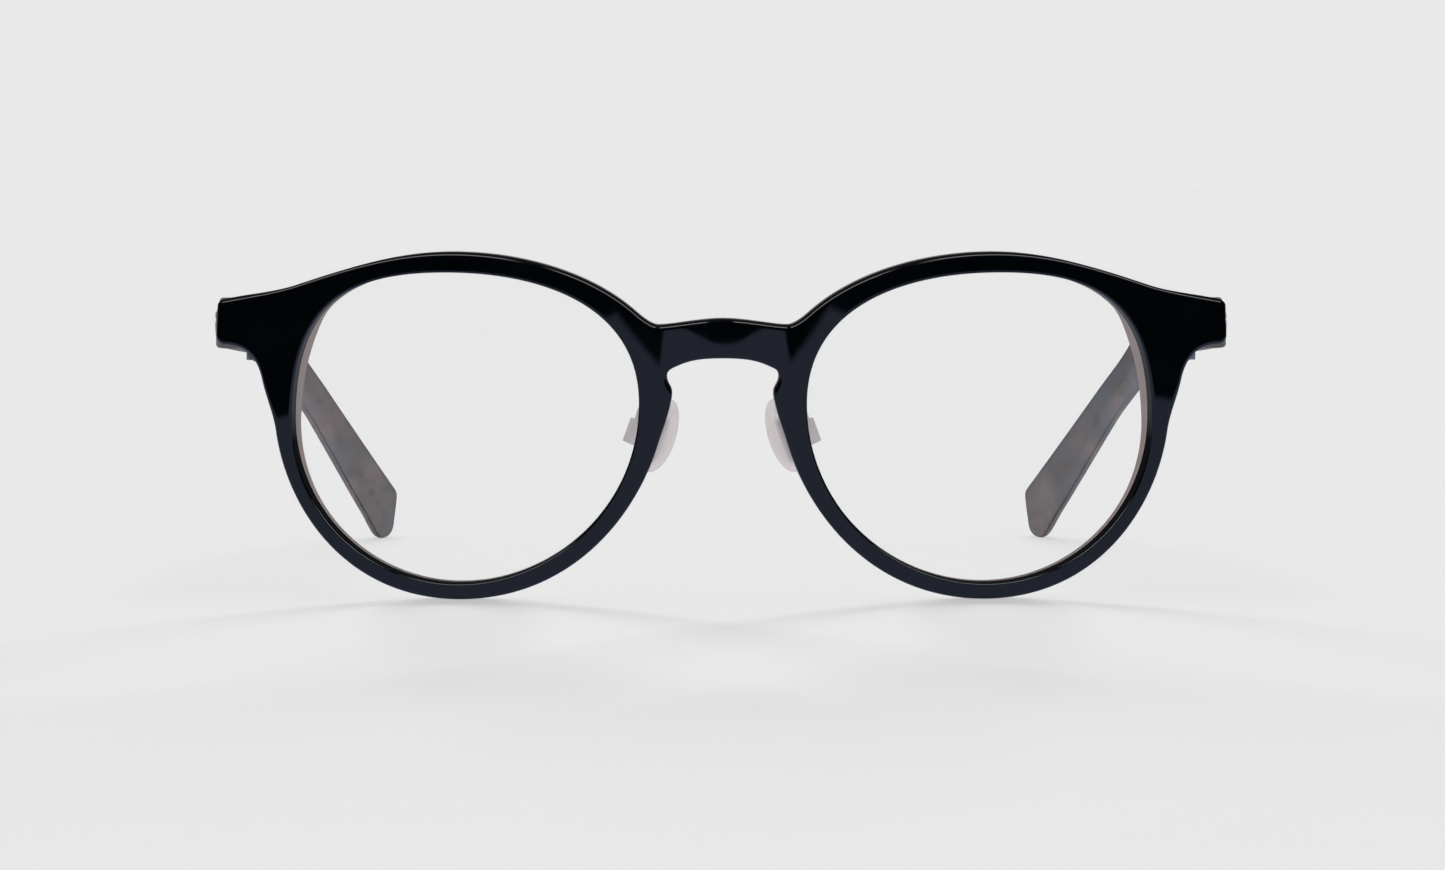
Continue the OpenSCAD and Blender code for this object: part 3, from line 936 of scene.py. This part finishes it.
def make_table_mirror():
    """What the polished front mirrors of the table: a cool light patch near it and dark beyond."""
    material, tree, glow = emission("table_patch")
    place = tree.nodes.new("ShaderNodeTexCoord")
    split = add_node(tree, "ShaderNodeSeparateXYZ", {0: place.outputs["Object"]})
    shifted = maths(tree, "SUBTRACT", split.outputs["X"], PATCH_X)
    across = maths(tree, "ABSOLUTE", shifted)
    ahead = maths(tree, "SUBTRACT", CONTACT_Y, split.outputs["Y"])
    # Before the bridge the patch has a shallow notch. Past PATCH_HALF its edge steps in, then runs out to a
    # corner and draws back again.
    rise = maths(tree, "MULTIPLY", maths(tree, "SUBTRACT", across, PATCH_RISE[0]), PATCH_RISE[1])
    rise = maths(tree, "ADD", rise, PATCH_RISE[2])
    drop = maths(tree, "MULTIPLY", maths(tree, "SUBTRACT", across, PATCH_DROP[0]), PATCH_DROP[1])
    drop = maths(tree, "SUBTRACT", PATCH_DROP[2], drop)
    lean = maths(tree, "MULTIPLY", shifted, PATCH_LEAN)
    side_edge = maths(tree, "ADD", maths(tree, "MINIMUM", rise, drop), lean)
    middle_edge = smooth_range(tree, across, NOTCH_ACROSS, NOTCH_AHEAD)
    in_middle = maths(tree, "LESS_THAN", across, PATCH_HALF)
    past_middle = maths(tree, "SUBTRACT", 1.0, in_middle)
    middle_part = maths(tree, "MULTIPLY", in_middle, middle_edge)
    side_part = maths(tree, "MULTIPLY", past_middle, side_edge)
    edge = maths(tree, "ADD", middle_part, side_part)
    softness = maths(tree, "MULTIPLY", past_middle, EXTRA_SIDE_SOFTNESS)
    softness = maths(tree, "ADD", softness, MIDDLE_SOFTNESS)
    margin = maths(tree, "DIVIDE", maths(tree, "SUBTRACT", edge, ahead), softness)
    lit = smooth_range(tree, margin, (-1, 1), (0, 1))
    tree.links.new(ramp(tree, lit, [(0, (0.0, 0.0, 0.0)), (1, (0.36, 0.42, 0.62))]), glow.inputs["Color"])
    y_range = (CONTACT_Y - PATCH_AHEAD, CONTACT_Y + PATCH_BEHIND)
    corners = level_corners((-PATCH_SIDE, PATCH_SIDE), y_range, PATCH_Z)
    only_mirrored(plane("table_patch", corners, material))


# A softbox runs across from inner to outer, and from its low edge's (y, z) to its high edge's, in metres.
SOFTBOX_INNER = 0.06
SOFTBOX_OUTER = 0.75
SOFTBOX_LOW = (-0.66, 0.36)
SOFTBOX_HIGH = (-0.42, 0.56)
SOFTBOX_STRENGTH = 5.0


def make_softboxes():
    """Two boxes ahead and above, with a gap between them, that only gloss shows."""
    material, tree, glow = emission("softbox")
    glow.inputs["Strength"].default_value = SOFTBOX_STRENGTH
    tones = [(0.3, (0.93, 0.95, 1.0)), (0.7, (1.0, 1.0, 1.0))]
    tree.links.new(ramp(tree, noise(tree, 3, detail=1), tones), glow.inputs["Color"])
    for side, sign in SIDES.items():
        inner = sign * SOFTBOX_INNER
        outer = sign * SOFTBOX_OUTER
        low = [(inner, *SOFTBOX_LOW), (outer, *SOFTBOX_LOW)]
        high = [(outer, *SOFTBOX_HIGH), (inner, *SOFTBOX_HIGH)]
        corners = low + high
        only_mirrored(plane(f"{side}_softbox", corners, material))


def gathered(name, members):
    pieces = bpy.data.collections.new(name)
    for member in members:
        pieces.objects.link(bpy.data.objects[member])
    return pieces


def make_lamps(lit):
    """Soft suns that light only the table, each blocked only by chosen pieces, for the faint shadows."""
    front = gathered("front_shadow", ("front_face", "front_back"))
    arms = gathered("temple_shadow", [f"{side}_temple_arm" for side in SIDES])
    for number, (azimuth, elevation, size, share) in enumerate(BACK_LAMPS + TOP_LAMPS):
        data = bpy.data.lights.new(f"table_lamp_{number}", "SUN")
        height = math.sin(math.radians(elevation))
        data.energy = share * PALE * math.pi / (TABLE_ALBEDO * height)
        data.angle = math.radians(size)
        lamp = bpy.data.objects.new(f"table_lamp_{number}", data)
        bpy.context.scene.collection.objects.link(lamp)
        level = math.cos(math.radians(elevation))
        turn = math.radians(azimuth)
        towards = Vector((-math.sin(turn) * level, -math.cos(turn) * level, -height))
        lamp.rotation_euler = towards.to_track_quat("-Z", "Y").to_euler()
        lamp.light_linking.receiver_collection = lit
        lamp.light_linking.blocker_collection = front if number < len(BACK_LAMPS) else arms


def make_camera():
    distance = 730.0
    pitch = math.radians(2.7)
    eye_x = -10.0
    eye_z = 56.93
    data = bpy.data.cameras.new("camera")
    data.lens = 134.2
    data.sensor_width = 36.0
    data.clip_start = 0.01
    data.clip_end = 100.0
    camera = bpy.data.objects.new("camera", data)
    bpy.context.scene.collection.objects.link(camera)
    camera.location = (eye_x * MM, (-distance * math.cos(pitch) - MIDDLE_Y) * MM, eye_z * MM)
    camera.rotation_euler = Euler((math.pi / 2 - pitch, 0, math.atan(eye_x / distance)))
    bpy.context.scene.camera = camera


make_world()
make_lamps(make_floor())
make_table_mirror()
make_softboxes()
make_camera()
bpy.context.scene.view_settings.view_transform = "Standard"
bpy.context.scene.view_settings.look = "None"
